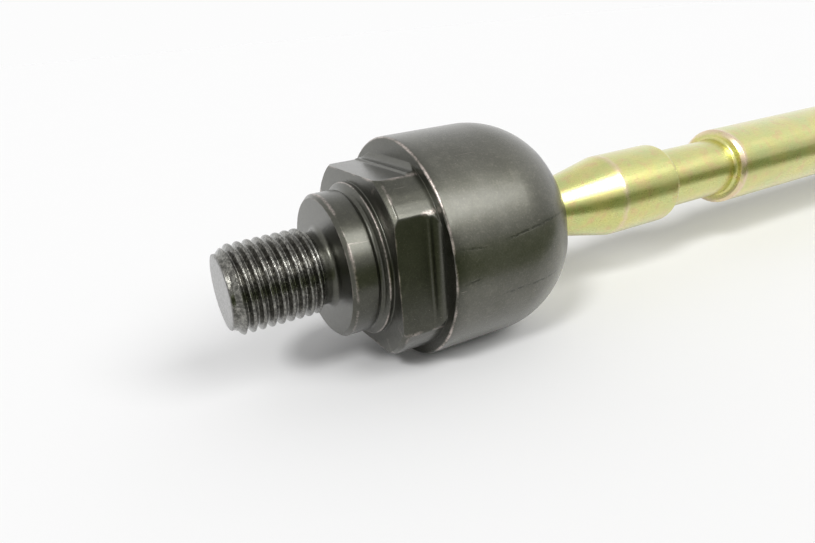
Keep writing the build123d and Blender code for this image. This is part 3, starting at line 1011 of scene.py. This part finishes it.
def make_floor():
    """A plain pale table top, far wider than the part."""
    half = FLOOR_HALF_WIDTH * MM
    mesh = bpy.data.meshes.new("floor")
    corners = [(-half, -half, 0), (half, -half, 0), (half, half, 0), (-half, half, 0)]
    mesh.from_pydata(corners, [], [(0, 1, 2, 3)])
    floor = bpy.data.objects.new("floor", mesh)
    floor.location.z = FLOOR_Z * MM
    bpy.context.scene.collection.objects.link(floor)
    n = Surface("pale_table")
    n.set("Base Color", n.blend(n.noise(40.0, 2.0), TABLE_DARK, TABLE_LIGHT))
    n.set("Roughness", 1.0)
    n.set("Specular IOR Level", 0.0)
    give(floor, n.material)


def direction(azimuth, elevation):
    """Unit vector; azimuth turns from -Y towards +X."""
    turn = math.radians(azimuth)
    rise = math.radians(elevation)
    return Vector((math.sin(turn) * math.cos(rise), -math.cos(turn) * math.cos(rise), math.sin(rise)))


def make_lamp(name, azimuth, elevation, spread, strength):
    """A lamp so far off that it lights the whole table alike, this many degrees across."""
    lamp = bpy.data.lights.new(name, "SUN")
    lamp.angle = math.radians(spread)
    lamp.energy = strength
    holder = bpy.data.objects.new(name, lamp)
    holder.rotation_mode = "QUATERNION"
    holder.rotation_quaternion = direction(azimuth, elevation).to_track_quat("Z", "Y")
    bpy.context.scene.collection.objects.link(holder)


def make_lamps():
    """A wide soft lamp at the camera's right and a smaller one, higher, at its left."""
    make_lamp("key", KEY_AZIMUTH, KEY_ELEVATION, KEY_SPREAD, KEY_STRENGTH)
    make_lamp("side", SIDE_AZIMUTH, SIDE_ELEVATION, SIDE_SPREAD, SIDE_STRENGTH)


def make_flag():
    """A dim card standing in front of the part, which only reflections see. It gives round metal
    the dark line that the unlit side of a studio gives it."""
    low = FLOOR_Z * MM
    high = FLAG_TOP * MM
    y = FLAG_Y * MM
    start = FLAG_START_X * MM
    end = FLAG_END_X * MM
    mesh = bpy.data.meshes.new("flag")
    mesh.from_pydata([(start, y, low), (end, y, low), (end, y, high), (start, y, high)], [], [(0, 1, 2, 3)])
    flag = bpy.data.objects.new("flag", mesh)
    bpy.context.scene.collection.objects.link(flag)
    material = bpy.data.materials.new("dim_card")
    material.use_nodes = True
    shader = material.node_tree.nodes["Principled BSDF"]
    shader.inputs["Base Color"].default_value = (0, 0, 0, 1)
    shader.inputs["Specular IOR Level"].default_value = 0.0
    shader.inputs["Emission Color"].default_value = (*FLAG_GLOW, 1)
    shader.inputs["Emission Strength"].default_value = 1.0
    give(flag, material)
    flag.visible_camera = False
    flag.visible_diffuse = False
    flag.visible_shadow = False


def make_world():
    """A white room, dimmer low on the camera's side, that fills the shadows less than it shows in
    reflections."""
    world = bpy.data.worlds.new("studio")
    world.use_nodes = True
    n = Nodes(world.node_tree)
    looking = n.tree.nodes.new("ShaderNodeTexCoord")
    towards = n.tree.nodes.new("ShaderNodeSeparateXYZ")
    n.feed(towards, "Vector", looking.outputs["Generated"])
    to_right, to_back, up = (towards.outputs[axis] for axis in "XYZ")
    near_side = n.remap(to_back, 0.0, -0.6, 0.0, 1.0, "SMOOTHSTEP")
    low_down = n.remap(up, 0.15, 0.55, 1.0, 0.0, "SMOOTHSTEP")
    overhead = n.remap(up, 0.3, 1.0, 0.0, OVERHEAD_DIMMING, "SMOOTHSTEP")
    dimming = n.math("MULTIPLY", near_side, low_down)
    dimming = n.math("MULTIPLY", dimming, NEAR_SIDE_DIMMING)
    dimming = n.math("ADD", dimming, overhead)
    shown = n.math("SUBTRACT", ROOM_BRIGHTNESS, dimming)
    behind = n.math(
        "ADD",
        n.math("MULTIPLY", to_right, FILL_TO_RIGHT),
        n.math("MULTIPLY", to_back, FILL_TO_BACK),
    )
    fill = n.remap(behind, -0.4, 0.8, FILL_LOW, FILL_HIGH, "SMOOTHSTEP")
    ray = n.tree.nodes.new("ShaderNodeLightPath")
    filled = n.mix(ray.outputs["Is Diffuse Ray"], shown, fill)
    seen = n.mix(ray.outputs["Is Camera Ray"], filled, BACKDROP)
    background = n.tree.nodes["Background"]
    n.feed(background, "Color", (1, 1, 1, 1))
    n.feed(background, "Strength", seen)
    bpy.context.scene.world = world
    bpy.context.scene.view_settings.view_transform = "Standard"


make_camera()
make_floor()
make_lamps()
make_flag()
make_world()
dress_pieces()
